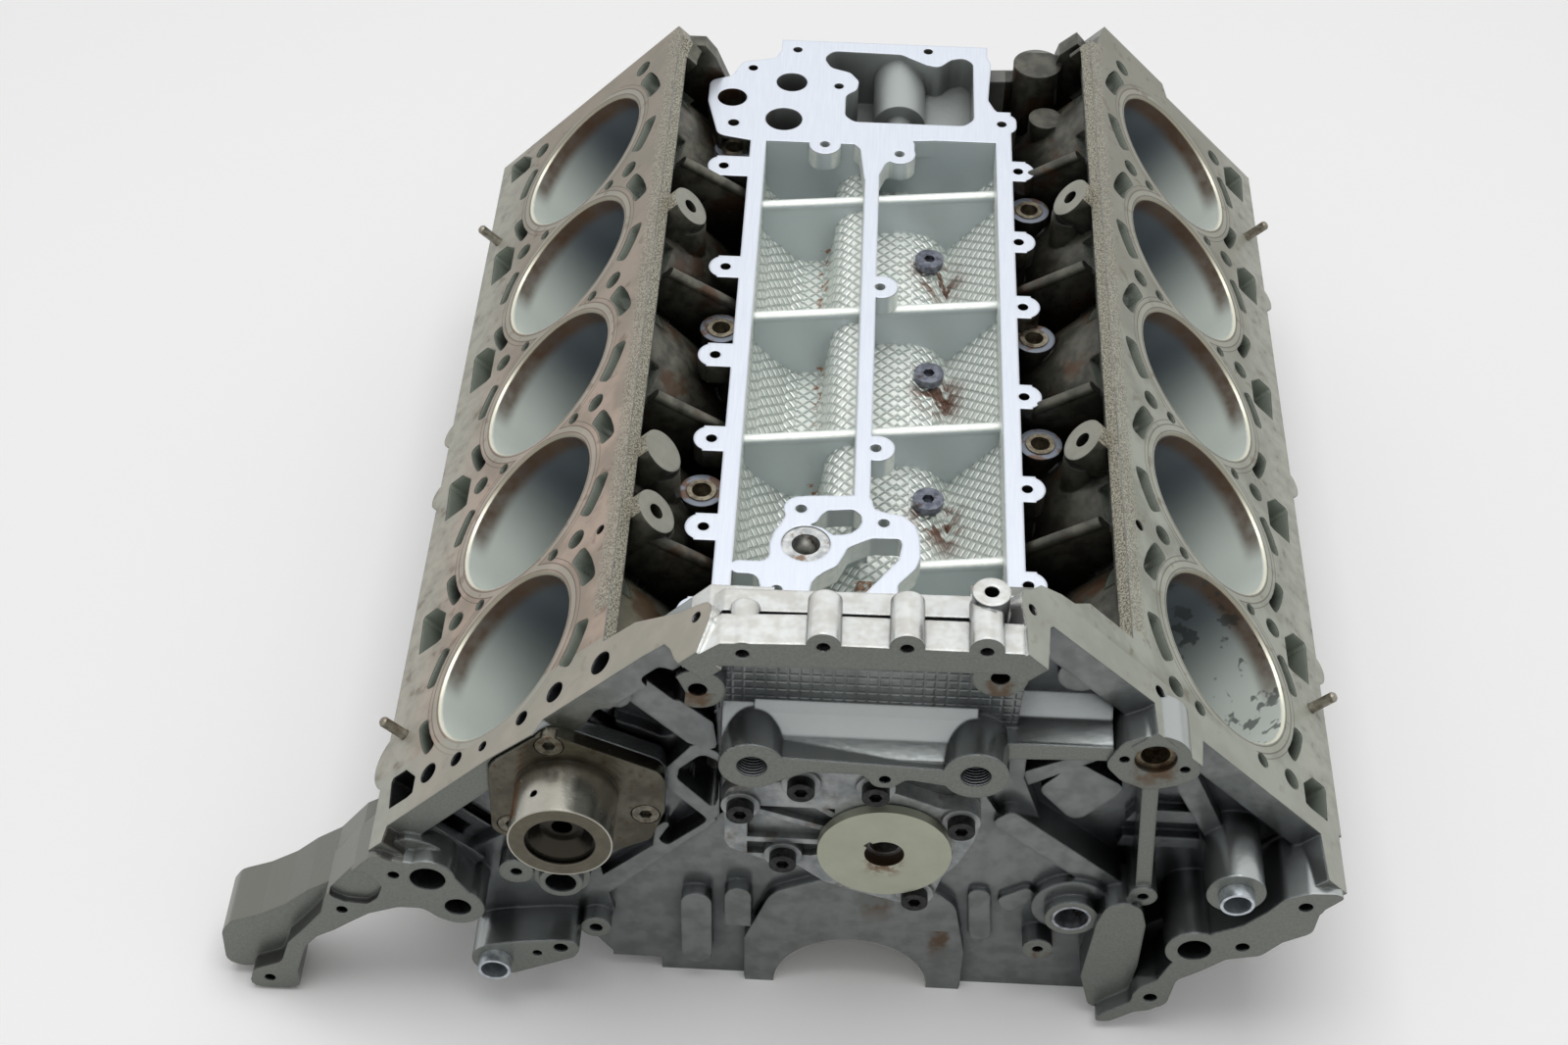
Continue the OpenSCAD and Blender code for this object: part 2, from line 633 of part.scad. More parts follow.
// Cover flange and bosses of the chain case on the right
module case_right() {
    along_y(flange_y, right_wall + eps) {
        polygon(soften([[213, 110], [204, 99], [203, 83], [191, 75], [183, 64], [168, 60], [158, 50],
            [148, 42], [146, 24],
            [139, 17], [132, 15], [121, 6], [113, 6], [119, 13], [129, 22], [131, 33], [139, 40], [143, 52],
            [150, 70], [160, 79], [172, 86], [181, 97], [187, 107], [198, 112], [209, 112.5]],
            6));
        translate([153, 66]) circle(13);
        translate([138, 27]) circle(8.4);
        translate([197, 102]) circle(8.5);
        translate([174, 70]) circle(8);
    }
    // Wall that closes the case under the bank
    along_y(wall_front + 1, right_wall + eps)
        polygon([[106, 20], [121, 8], [132, 16], [146, 26], [148, 42], [168, 60], [183, 64], [191, 75],
            [203, 85],
            [204, 99], [198, 104], [126, 44]]);
    // Rounded column at the foot of the case
    along_y(-66, wall_front + 8) {
        polygon(soften([[109, 72], [112, 84], [120, 88], [128, 84], [131, 72], [131, 40], [129, 22], [121, 6],
            [112, 6], [106, 30]], 7));
    }
    rod_y(sleeve_right.x, sleeve_right.y, 13, flange_y, right_wall + eps);
    // Tensioner port with the pad that carries it
    along_y(-61.5, right_wall + eps)
        polygon(soften([[101, 179], [109, 169], [121, 163], [135, 168], [141, 173], [142, 180], [121, 201],
            [107, 193]], 7));
    rod_y(port_at.x, port_at.y, 15, -61.5, right_wall + eps);
    // Oil passage down to its screw boss
    along_y(-60, right_wall + eps)
        polygon([[118.5, 168], [125.5, 168], [131.5, 90], [124.5, 90]]);
    rod_y(128, 88, 6.5, -62, right_wall + eps);
    // Ribs and raised panel of the open part of the wall
    along_y(right_front, right_wall + eps) {
        polygon(soften([[77, 141], [92, 161], [116, 144], [95, 119]], 5));
        polygon(soften([[58, 146], [64, 138], [104, 165], [100, 172], [92, 165]], 4));
        polygon(soften([[137, 145], [157, 106], [165, 109], [143, 158], [136, 168], [128, 168]], 4));
    }
    // Strap along the edge of the flat wall
    along_y(wall_front - 2.5, right_wall + eps)
        polygon(soften([[57, 126], [120, 70], [129, 78], [66, 135]], 4));
    along_y(right_front + 3, right_wall + eps) {
        polygon([[118, 118], [122, 126], [150, 126], [152, 118]]);
        polygon([[116, 100], [118, 107], [152, 107], [152, 100]]);
    }
    // Ports and screw bosses low in the wall
    rod_y(tube_at.x, tube_at.y, tube_r + 3, -62, wall_front + 4);
    rod_y(tube_at.x, tube_at.y + 2, tube_r + 9, -57, wall_front + 4);
    rod_y(85, 44, 7, -62, wall_front + 4);
    along_y(-54, wall_front + 4) {
        polygon(soften([[54, 38], [64, 38], [61, 76], [51, 76]], 5));
        polygon(soften([[70, 58], [82, 74], [78, 80], [64, 70]], 4));
    }
    // Web from the large boss to the port
    along_y(-60, right_wall + eps)
        polygon([[56, 188], [104, 188], [104, 180], [56, 178]]);
    across(56, 104)
        polygon([[-58, 184], [-58, 188], [-46, 190], [right_wall + eps, 197], [right_wall + eps, 184]]);
    // Lug under the right arm
    rod_y(88, 216, 9.5, right_front + 1, right_wall + eps);
}

module case_right_cuts() {
    rod_y(153, 66, 7.5, flange_y - 1, -52);
    rod_y(138, 27, cover_hole_r, flange_y - 1, -56);
    rod_y(197, 102, cover_hole_r, flange_y - 1, -56);
    rod_y(174, 70, cover_hole_r, flange_y - 1, -56);
    rod_y(port_at.x, port_at.y, port_r + fit_gap, -62.5, -48);
    for (h = [[109, 183], [135, 178]])
        rod_y(h[0], h[1], 2.2, -62.5, -52);
    rod_y(128, 88, 2.5, -63, -54);
    rod_y(tube_at.x, tube_at.y, tube_r + fit_gap, -63, -42);
    rod_y(85, 44, 2.5, -63, -50);
    rod_y(sleeve_right.x, sleeve_right.y, sleeve_r + fit_gap, flange_y - 1, flange_y + sleeve_sunk);
}

// Cover flange, horn and bosses of the chain case on the left
module case_left() {
    along_y(flange_y, left_wall + eps) {
        polygon(soften([[-213, 109], [-223, 97], [-238, 76], [-241, 64], [-250, 51], [-259, 39],
            [-264, 23], [-278, 16],
            [-282, 2], [-257, 2], [-257, 17], [-251, 37], [-245, 45], [-236, 51], [-229, 57], [-219, 65],
            [-205, 71],
            [-194, 71], [-187, 64], [-180, 61], [-170, 80], [-182, 102], [-205, 105]],
            7));
        translate([-190, 93]) circle(12.5);
        translate([-178, 73]) circle(12);
    }
    along_y(-66, -36)
        polygon(soften([[-200, 112], [-222, 97], [-236, 78], [-248, 69], [-259, 58], [-272, 49],
            [-287, 42], [-292, 34],
            [-293, 10], [-283, 6], [-272, 14], [-260, 28], [-250, 45], [-238, 56], [-222, 64], [-208, 70],
            [-192, 76], [-180, 104]], 9));
    // Sleeve plate
    along_y(flange_y, -40) {
        polygon(soften([[-174, 38], [-168, 44], [-156, 47], [-137, 50], [-127, 50], [-124, 45], [-127, 38],
            [-156, 23], [-168, 24]], 5));
        translate(sleeve_left) circle(11);
    }
    along_y(-54, -40)
        polygon([[-176, 40], [-174, 62], [-182, 84], [-150, 108], [-118, 96], [-110, 48], [-124, 37]]);
    rod_y(-118, 45, 7, -62, wall_front + 4);
    // Seat of the idler plate, with the stepped port and the screw boss under it
    along_y(left_front, left_wall + eps)
        idler_outline();
    rod_y(-132, 84, 13, -62, left_wall + 4);
    rod_y(-132, 84, 10, -66, left_wall + 4);
    rod_y(-152, 88, 8, -64, left_wall + 4);
    // Ribs between the idler plate, the arm and the large boss
    along_y(-54, -46 + eps) {
        polygon(soften([[-99, 213], [-96, 216], [-64, 186], [-62, 166], [-75, 172], [-101, 200]], 4));
        polygon(soften([[-86, 152], [-72, 172], [-61.5, 166], [-61.5, 122], [-66, 119], [-87, 144]], 4));
        polygon(soften([[-61.5, 120], [-66, 114], [-126, 46], [-134, 55], [-90, 100], [-68, 122]], 4));
        polygon(soften([[-90, 112], [-84, 118], [-84, 96], [-92, 92]], 3));
    }
    rod_y(-106, 203, 8, left_front + 1, left_wall + 4);
}

module case_left_cuts() {
    for (h = [[-231, 67, 2.6], [-205, 95, 2.6], [-271, 10, 2.6], [-144, 40, 2.2], [-133, 45, 3.3]])
        rod_y(h[0], h[1], h[2], flange_y - 1, -58);
    rod_y(-190, 93, 8, flange_y - 1, -50);
    rod_y(-178, 73, 6, flange_y - 1, -50);
    rod_y(-118, 45, 3, -63, -50);
    rod_y(-152, 88, 2.6, -65, -52);
    rod_y(-132, 84, 7, -67, -54);
    rod_y(sleeve_left.x, sleeve_left.y, sleeve_r + fit_gap, flange_y - 1, flange_y + sleeve_sunk);
    along_y(flange_y - 1, flange_y + 3)
        polygon(soften([[-237, 78], [-224, 96], [-217, 96], [-211, 86], [-214, 77], [-219, 72],
            [-229, 73]], 4));
    // Cast pockets around the ribs
    along_y(-60, -24)
        polygon(soften([[-80, 147], [-79, 154], [-69, 165], [-61, 160], [-62, 135], [-64, 127]], 4));
    along_y(-60, -40)
        polygon(soften([[-120, 181], [-113, 195], [-103, 196], [-76, 171], [-86, 165], [-97, 171]], 4));
    along_y(-60, -40)
        polygon(soften([[-95, 215], [-86, 224], [-79, 222], [-75, 212], [-76, 200], [-80, 199]], 4));
    along_y(-60, -44)
        polygon(soften([[-76, 131], [-66, 119], [-85, 99], [-89, 103]], 4));
}

// Raised faces on the crankcase front wall
module front_wall() {
    // Flat wall between the joint face and the diagonal ribs
    along_y(wall_front, wall_front + 6)
        polygon([[skirt_w, 0], [skirt_w, 12], [126, 34], [127, 44], [117, 68], [62, 126], [50, 150],
            [-50, 150],
            [-60, 122], [-124, 58], [-127, 44], [-126, 34], [-skirt_w, 12], [-skirt_w, 0]]);
    along_y(-56, wall_front + eps)
        difference() {
            polygon(soften([[-50, -12], [-50, 34], [-38, 70], [-10, 84], [30, 82], [46, 66], [52, 30],
                [52, -12]],
                16, 5));
            translate([-80, -20]) square([160, 20]);
            circle(nose_r);
            translate([tunnel_x, tunnel_z]) scale(1.012) translate([-tunnel_x, -tunnel_z]) housing_outline();
            translate([26.5, 81]) circle(9);
        }
    along_y(-58, wall_front + eps) {
        translate([-72, 22]) circle(7);
        translate([-72, 62]) circle(7);
        translate([-79, 22]) square([14, 40]);
        translate([-53, 68]) circle(6);
        translate([-59, 46]) square([12, 22]);
    }
}

module crank_room() {
    for (i = [0:len(web_y) - 2]) {
        rod_y(0, 0, crank_room_r, web_y[i] + web_t / 2, web_y[i + 1] - web_t / 2);
        translate([-crank_room_w, web_y[i] + web_t / 2, -1])
            cube([2 * crank_room_w, bore_pitch - web_t, 49]);
    }
    rod_y(0, 0, main_r, wall_front - 10, rear_face + 1);
    rod_y(0, 0, nose_r, wall_front - 10, wall_front + 4);
    rod_y(0, 0, 58, rear_face - 9, rear_face + 1);
    for (y = web_y, x = [-85, -50, 50, 85])
        translate([x, y, -1]) cylinder(r = main_bolt_r, h = 39);
    for (i = [0:bank_count - 1], s = [-1, 1])
        translate([s * (skirt_w - 8), crank_mid + i * bore_pitch, -1]) cylinder(r = 4, h = 21);
    // Clearance in front of the joint face on the left
    translate([-skirt_w - 1, wall_front - 8, -1]) cube([skirt_w - 88, 18, 10]);
}

// Tunnel for the balance shaft, with the screw holes of its housing
module shaft_tunnel() {
    rod_y(tunnel_x, tunnel_z, tunnel_r, wall_front - 8, rear_face + 1);
    for (s = housing_screws_at)
        rod_y(s.x, s.y, screw_r + screw_gap, wall_front - 8, wall_front + 14);
}

module idler_cuts() {
    for (s = idler_screws_at)
        rod_y(s.x, s.y, screw_r + screw_gap, left_front - 1, left_front + 12);
    rod_y(idler_x, idler_z, 5, left_front - 1, left_front + 12);
    // Recess in the deck's front edge for the plate
    along_y(flange_y - 1, left_front)
        translate([idler_x, idler_z]) scale(1.012) translate([-idler_x, -idler_z]) idler_outline();
}

module cylinder_block() {
    color("#b3b8ba") difference() {
        union() {
            difference() {
                along_y(wall_front + 4, rear_face) core_section();
                channels();
                // The housing narrows behind the rear plate's side lugs
                translate([-rail_w - 1, 424, 152]) cube([14, rear_face - 423, rail_z - 151]);
                translate([58, 386, 152]) cube([rail_w - 57, rear_face - 385, rail_z - 151]);
            }
            for (side = [-1, 1])
                bank(side) {
                    bank_body(side);
                    bank_bosses(side);
                }
            rail_plates();
            valley_bodies();
            bridge();
            case_right();
            case_left();
            front_wall();
        }
        for (side = [-1, 1])
            bank(side) bank_cuts(side);
        crank_room();
        shaft_tunnel();
        bridge_cuts();
        case_right_cuts();
        case_left_cuts();
        idler_cuts();
        rear_chamber();
        for (h = concat(rail_lugs, plate_holes))
            translate([h[0], h[1], rail_z - 16]) cylinder(r = rail_hole_r, h = 17);
        translate([valve_at.x, valve_at.y, valve_floor]) cylinder(r = valve_r + fit_gap, h = 30);
        for (s = sockets)
            translate([s.x, s.y, 163]) cylinder(r = socket_r + fit_gap, h = 20);
        for (j = jets_at)
            translate([j.x, j.y, 139]) cylinder(r = jet_r + 2 * fit_gap, h = 20);
    }
}

module head_dowels(side) {
    bank(side)
        for (d = dowel_places(side))
            translate([d[0], d[1], deck_height - dowel_sunk]) {
                cylinder(r = dowel_r, h = dowel_sunk + dowel_proud - 1);
                translate([0, 0, dowel_sunk + dowel_proud - 1])
                    cylinder(r1 = dowel_r, r2 = dowel_r - 0.8, h = 1);
            }
}

module head_dowels_left() {
    color("#8d8f92") head_dowels(-1);
}

module head_dowels_right() {
    color("#8d8f92") head_dowels(1);
}

idler_x = -127;
idler_z = 145.6;
idler_face = left_front - plate_t;
idler_seat = idler_face + 5;
idler_screws_at = [[-133, 177], [-93, 133.5], [-152, 122]];

module idler_outline() {
    polygon(soften([[-156.5, 164.5], [-138, 183], [-128, 182.6], [-87, 163], [-84, 157], [-84.7, 136.5],
        [-91, 116], [-108, 106], [-155, 113], [-161, 118], [-160, 160]], 7));
}

module idler_axle() {
    color("#6f6c66") difference() {
        union() {
            along_y(idler_face, left_front)
                idler_outline();
            rod_y(idler_x, idler_z, journal_d / 2, idler_face - journal_l, idler_face + eps);
        }
        // Recess in the journal's end, which narrows towards the drilling
        rod_y(idler_x, idler_z, 15, idler_face - journal_l - 1, idler_face - journal_l + 2.5);
        translate([idler_x, idler_face - journal_l + 2.4, idler_z])
            rotate([-90, 0, 0]) cylinder(r1 = 14.2, r2 = 9.5, h = 6);
        rod_y(idler_x, idler_z, 4.5, idler_face - journal_l, left_front + 1);
        for (s = idler_screws_at) {
            rod_y(s.x, s.y, screw_r + screw_gap, left_front - plate_t - 1, left_front + 1);
            rod_y(s.x, s.y, screw_head_r + 0.5, left_front - plate_t - 1, idler_seat);
        }
        translate([idler_x, idler_face - 16, idler_z])
            rotate([0, -30, 0]) cylinder(r = 1.8, h = journal_d);
    }
}

// Socket screw with its head towards the chain end
module socket_screw(x, seat, z, length) {
    difference() {
        union() {
            rod_y(x, z, screw_head_r, seat - screw_head_h, seat);
            rod_y(x, z, screw_r, seat - eps, seat + length);
        }
        translate([x, seat - screw_head_h + 2.8, z])
            rotate([90, 0, 0]) cylinder(r = 3, h = 4, $fn = 6);
    }
}

module idler_screws() {
    color("#4a4a4a")
        for (s = idler_screws_at)
            socket_screw(s.x, idler_seat, s.y, 12);
}

housing_screws_at = [[-52, 139], [-26, 156], [6, 155], [44, 134], [-33, 105], [26.5, 81]];

// Ribbed cover that holds the front of the balance shaft
module shaft_housing() {
    color("#8e9499") difference() {
        union() {
            along_y(wall_front - 4, wall_front)
                housing_outline();
            along_y(wall_front - 8, wall_front - 3)
                intersection() {
                    housing_outline();
                    union() {
                        for (a = [100:20:240])
                            translate([tunnel_x, tunnel_z]) rotate(a) translate([20, -1.6]) square([70, 3.2]);
                        difference() {
                            translate([-70, 60]) square([140, 110]);
                            translate([-49, 104]) square([38, 34]);
                        }
                    }
                }
            for (s = housing_screws_at)
                rod_y(s[0], s[1], 8.5, wall_front - 9.5, wall_front);
        }
        rod_y(tunnel_x, tunnel_z, 17.5, wall_front - 12, wall_front + 1);
        for (s = housing_screws_at)
            rod_y(s.x, s.y, screw_r + screw_gap, wall_front - 12, wall_front + 1);
        rod_y(tunnel_x, tunnel_z, hub_r + 1, wall_front - 14, wall_front - 7.9);
    }
}

module housing_outline() {
    polygon(soften([[-59, 144], [-57, 150], [-35, 155], [-20, 163], [0, 163], [14, 151], [36, 141], [50, 142],
        [53, 132], [50, 118], [45, 104], [38, 92], [34, 74], [20, 72], [0, 79], [-14, 85], [-27, 97],
        [-42, 100],
        [-57, 107], [-59, 113]], 6));
}

module housing_screws() {
    color("#2b2b2d")
        for (s = housing_screws_at)
            socket_screw(s[0], wall_front - 9.5, s[1], 18);
}

front_seat = wall_front + 24;
rear_seat = rear_face - 32;

// Balance shaft: two journals and two opposed half weights
module balance_shaft() {
    color("#7d7f82") difference() {
        union() {
            rod_y(tunnel_x, tunnel_z, shaft_r, wall_front + 1, front_seat + 2);
            rod_y(tunnel_x, tunnel_z, shaft_nose_r, wall_front - 7.5, rear_seat + 2);
            rod_y(tunnel_x, tunnel_z, shaft_r, rear_seat - 2, rear_face - 13);
            translate([tunnel_x, 150, tunnel_z])
                rotate([90, 0, 0]) linear_extrude(110) half_disc(tunnel_r - 2);
            translate([tunnel_x, 360, tunnel_z])
                rotate([90, 0, 0]) linear_extrude(110) rotate(180) half_disc(tunnel_r - 2);
        }
        rod_y(tunnel_x, tunnel_z, 6.5, wall_front - 8.5, wall_front + 20);
    }
}

module half_disc(r) {
    intersection() {
        circle(r);
        translate([-r - 1, -r - 1]) square([2 * r + 2, r + 1]);
    }
}

module balance_hub() {
    color("#aeb0aa") difference() {
        union() {
            rod_y(tunnel_x, tunnel_z, hub_r, hub_front, hub_front + hub_t);
            rod_y(tunnel_x, tunnel_z, 16, hub_front + eps, wall_front - 2);
        }
        rod_y(tunnel_x, tunnel_z, hub_bore_r, hub_front - 2, wall_front);
        rod_y(tunnel_x, tunnel_z, shaft_nose_r + running_gap, wall_front - 7.5, wall_front);
        translate([tunnel_x, hub_front + 2, tunnel_z])
            rotate([0, -50, 0]) translate([0, 0, hub_bore_r]) cube([4, 8, 4], center = true);
    }
}

module bush(front, rear) {
    difference() {
        rod_y(tunnel_x, tunnel_z, tunnel_r, front, rear);
        rod_y(tunnel_x, tunnel_z, shaft_r + running_gap, front - 1, rear + 1);
    }
}

module front_bush() {
    color("#b08d57") bush(wall_front + 1, front_seat);
}

module rear_bush() {
    color("#b08d57") bush(rear_seat, rear_face - 14);
}

// Cup that closes the tunnel at the flywheel end
module tunnel_plug() {
    color("#9a9c9e") difference() {
        rod_y(tunnel_x, tunnel_z, tunnel_r, rear_face - 10, rear_face - 2);
        rod_y(tunnel_x, tunnel_z, tunnel_r - 2, rear_face - 8, rear_face - 1);
    }
}

// Thin tube pressed into a boss to line up the chain cover
module locating_sleeve(place) {
    difference() {
        rod_y(place.x, place.y, sleeve_r, flange_y - sleeve_proud, flange_y + sleeve_sunk);
        rod_y(place.x, place.y, sleeve_r - sleeve_t, flange_y - sleeve_proud - 1, flange_y + sleeve_sunk + 1);
    }
}

module locating_sleeve_left() {
    color("#c9ccce") locating_sleeve(sleeve_left);
}

module locating_sleeve_right() {
    color("#c9ccce") locating_sleeve(sleeve_right);
}

// Plug screws over the oil jets in the right channel
module gallery_jets() {
    color("#6d7377")
        for (j = jets_at)
            translate([j.x, j.y, 0])
                difference() {
                    union() {
                        translate([0, 0, 140]) cylinder(r = jet_r, h = 8);
                        translate([0, 0, 148]) cylinder(r = jet_head_r, h = 4);
                    }
                    translate([0, 0, 149]) cylinder(r = 3, h = 4, $fn = 6);
                }
}

// Seat of the non-return valve in the front ring, and the ball held in it
module valve_seat() {
    color("#a9abad")
        translate([valve_at.x, valve_at.y, valve_floor])
            difference() {
                cylinder(r = valve_r, h = rail_z - valve_floor - 0.5);
                translate([0, 0, 6]) cylinder(r = ball_r + 1, h = 30);
                translate([0, 0, -1]) cylinder(r = 3, h = 10);
                translate([0, 0, 4]) cylinder(r1 = 3, r2 = ball_r + 1, h = 3);
            }
}

module valve_ball() {
    color("#c8c8c8")
        translate([valve_at.x, valve_at.y, valve_floor + ball_r + 3.56]) sphere(r = ball_r);
}

module port_insert() {
    color("#5d5a52") difference() {
        rod_y(port_at.x, port_at.y, port_r, -59, -48);
        rod_y(port_at.x, port_at.y, port_r - 2.7, -60, -51);
        rod_y(port_at.x, port_at.y, 3, -52, -47);
    }
}

module port_sleeve() {
    color("#8a8784") difference() {
        rod_y(tube_at.x, tube_at.y, tube_r, -62, -44);
        rod_y(tube_at.x, tube_at.y, tube_r - tube_t, -63, -43);
    }
}

// Steel bushes in the sockets beside the gallery
module socket_bushes() {
    color("#77706a")
        for (s = sockets)
            translate([s.x, s.y, 163])
                difference() {
                    cylinder(r = socket_r, h = 12.5);
                    translate([0, 0, 2]) cylinder(r = socket_r - 2.4, h = 12);
                }
}

cylinder_block();
head_dowels_left();
head_dowels_right();
idler_axle();
idler_screws();
shaft_housing();
housing_screws();
balance_shaft();
balance_hub();
front_bush();
rear_bush();
locating_sleeve_left();
locating_sleeve_right();
gallery_jets();
valve_seat();
valve_ball();
tunnel_plug();
port_insert();
port_sleeve();
socket_bushes();
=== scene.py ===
import bpy
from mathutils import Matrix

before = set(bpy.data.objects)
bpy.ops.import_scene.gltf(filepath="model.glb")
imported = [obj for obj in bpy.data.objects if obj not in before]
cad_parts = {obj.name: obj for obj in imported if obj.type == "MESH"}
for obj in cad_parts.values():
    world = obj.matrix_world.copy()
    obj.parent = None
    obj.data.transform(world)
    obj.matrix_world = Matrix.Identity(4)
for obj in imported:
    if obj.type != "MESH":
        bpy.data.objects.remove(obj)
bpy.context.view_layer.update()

# Camera. The block was photographed from above its chain end, looking down along the two banks, with
# a lens of moderate length. The place and turn were worked out from the ten bore rims.
camera = bpy.data.objects.new("camera", bpy.data.cameras.new("camera"))
bpy.context.scene.collection.objects.link(camera)
camera.location = (-0.018333, -0.722998, 0.992427)
camera.rotation_euler = (0.774302, -0.0169271, 0.0440776)
camera.data.sensor_width = 36
camera.data.lens = 56.94
bpy.context.scene.camera = camera


# Cylinder block. One large aluminium casting: sand-cast skin outside and in the valley, milled decks,
# rails and cover faces, honed bores, and a quilted pattern pressed into the walls of the oil gallery.
# It has run for years: the valley is black with oil, and the decks carry the print of their gaskets.
MM_PER_M = 1000


class Value:
    """A number that changes over a surface. Arithmetic on values adds Math nodes to their graph."""

    def __init__(self, graph, socket):
        self.graph, self.socket = graph, socket

    def maths(self, operation, *others):
        inputs = dict(enumerate((self,) + others))
        return self.graph.node("ShaderNodeMath", {"operation": operation}, inputs)

    def __add__(self, other):
        return self.maths("ADD", other)

    def __sub__(self, other):
        return self.maths("SUBTRACT", other)

    def __rsub__(self, other):
        return self.graph.node("ShaderNodeMath", {"operation": "SUBTRACT"}, {0: other, 1: self})

    def __mul__(self, other):
        return self.maths("MULTIPLY", other)

    def __truediv__(self, other):
        return self.maths("DIVIDE", other)

    def __gt__(self, other):
        return self.maths("GREATER_THAN", other)

    def __lt__(self, other):
        return self.maths("LESS_THAN", other)

    __radd__ = __add__
    __rmul__ = __mul__

    def near(self, place, reach):
        """1 where the value lies within reach of a place, otherwise 0."""
        return self.maths("COMPARE", place, reach)

    def between(self, low, high):
        """1 where the value lies between low and high, otherwise 0."""
        return (self > low) * (self < high)

    def rise(self, low, high):
        """Smooth step from 0 at low to 1 at high."""
        return self.graph.node("ShaderNodeMapRange", {"interpolation_type": "SMOOTHSTEP"},
                               {0: self, 1: low, 2: high})

    def far(self, other):
        """Length of a way that goes this far along one axis and the other far along the next."""
        return (self * self + other * other).maths("SQRT")

    def size(self):
        return self.maths("ABSOLUTE")

    def off_whole(self):
        """Signed distance from the nearest whole number."""
        return self - (self + 0.5).maths("FLOOR")

    def most(self, *others):
        """The largest of the values, which for places is where any of them is."""
        largest = self
        for other in others:
            largest = largest.maths("MAXIMUM", other)
        return largest

    def least(self, other):
        return self.maths("MINIMUM", other)


class Graph:
    """The nodes of one finish, or of the sky."""

    def __init__(self, tree):
        self.tree = tree
        tree.nodes.clear()

    def node(self, kind, settings=None, inputs=None, out=0):
        """Adds a node, its settings first, then the values or links of its sockets."""
        made = self.tree.nodes.new(kind)
        for name, setting in (settings or {}).items():
            setattr(made, name, setting)
        for socket, value in (inputs or {}).items():
            if isinstance(value, Value):
                self.tree.links.new(value.socket, made.inputs[socket])
            else:
                made.inputs[socket].default_value = value
        return Value(self, made.outputs[out]) if len(made.outputs) else None


class Finish(Graph):
    """A material that is being built, with the surface's own place in millimetres and its direction."""

    def __init__(self, name):
        self.material = bpy.data.materials.new(name)
        self.material.use_nodes = True
        super().__init__(self.material.node_tree)
        self.place = self.node("ShaderNodeTexCoord", out="Object")
        facing = self.node("ShaderNodeTexCoord", out="Normal")
        self.x, self.y, self.z = [part * MM_PER_M for part in self.parts(self.place)]
        self.nx, self.ny, self.nz = self.parts(facing)

    def parts(self, vector):
        split = self.node("ShaderNodeSeparateXYZ", None, {0: vector})
        outputs = split.socket.node.outputs
        return [Value(self, outputs[axis]) for axis in "XYZ"]

    def grain(self, mm, detail=2.0, stretch=None):
        """Noise from 0 to 1 whose lumps are about that many millimetres across."""
        place = self.place
        if stretch:
            place = self.node("ShaderNodeVectorMath", {"operation": "MULTIPLY"}, {0: place, 1: stretch})
        return self.node("ShaderNodeTexNoise", None,
                         {"Vector": place, "Scale": MM_PER_M / mm, "Detail": detail, "Roughness": 0.6})

    def blend(self, factor, low, high):
        """Mix of two colours or, for plain numbers, of two values."""
        if self.is_colour(low) or self.is_colour(high):
            return self.node("ShaderNodeMix", {"data_type": "RGBA"}, {0: factor, 6: low, 7: high}, out=2)
        return self.node("ShaderNodeMix", {"data_type": "FLOAT"}, {0: factor, 2: low, 3: high}, out=0)

    @staticmethod
    def is_colour(value):
        return isinstance(value, tuple) or isinstance(value, Value) and value.socket.type == "RGBA"

    def coat(self, ground, *coats):
        """Lays coats over a ground, each a pair of where it lies and what it is."""
        for where, over in coats:
            ground = self.blend(where, ground, over)
        return ground

    def hollow(self, mm):
        """1 deep in corners and pockets, 0 on open surfaces."""
        open_sky = self.node("ShaderNodeAmbientOcclusion", {"samples": 2, "only_local": True},
                             {"Distance": mm / MM_PER_M}, out="AO")
        return 1 - open_sky

    def surface(self, colour, roughness, metallic, height, depth_mm, edge_mm):
        """Ends the finish: soft edges, relief of the given depth, and the shader itself."""
        edge = self.node("ShaderNodeBevel", {"samples": 2}, {"Radius": edge_mm / MM_PER_M})
        relief = self.node("ShaderNodeBump", None,
                           {"Height": height, "Distance": depth_mm / MM_PER_M, "Strength": 1.0,
                            "Normal": edge})
        shader = self.node("ShaderNodeBsdfPrincipled", None,
                           {"Base Color": colour, "Roughness": roughness, "Metallic": metallic,
                            "Normal": relief})
        self.node("ShaderNodeOutputMaterial", None, {"Surface": shader})
        return self.material


def tone(red, green, blue):
    """Linear colour of a paint-chart value from 0 to 255."""
    chart = [c / 255 for c in (red, green, blue)]
    return tuple(c / 12.92 if c < 0.04045 else ((c + 0.055) / 1.055) ** 2.4 for c in chart) + (1.0,)


def wear(node, material):
    """Gives a CAD node its finish."""
    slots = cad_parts[node].data.materials
    slots.clear()
    slots.append(material)


LEAN = 0.5 ** 0.5                       # sine and cosine of the 45 degrees both banks lean
DECK, BANK_HALF = 228, 69               # height of the decks up a bank, half a bank's width
BORES, PITCH, OFFSET = 5, 90, 18.5      # in a bank, bore to bore, right bank behind the left
BORE, JACKET = 42.25, 59.7              # radius of a bore, and of the wall cast around it
BORE_FOOT = 60                          # no bore reaches further down its bank
MOUTH_WIDTH, MOUTH_DEPTH = 2.6, 2.4     # chamfer at the top of a bore
POCKET_DEPTH = 36                       # of the coolant and oil pockets in the decks
RAIL, RAIL_HALF = 185, 70               # height and half width of the milled rail
GALLERY_HALF, GALLERY_FLOOR = 61.8, 125
CHAMBER_HALF, CHAMBER_FLOOR = 58, 140
TROUGH_FLOOR = 120
BOSS_FACE, SOCKET_FACE = -76, 175       # the troughs' bosses across a bank, height of their sockets
CASE_FACE, CASE_END = -59.5, -33        # milled face of the chain end, and where that end stops
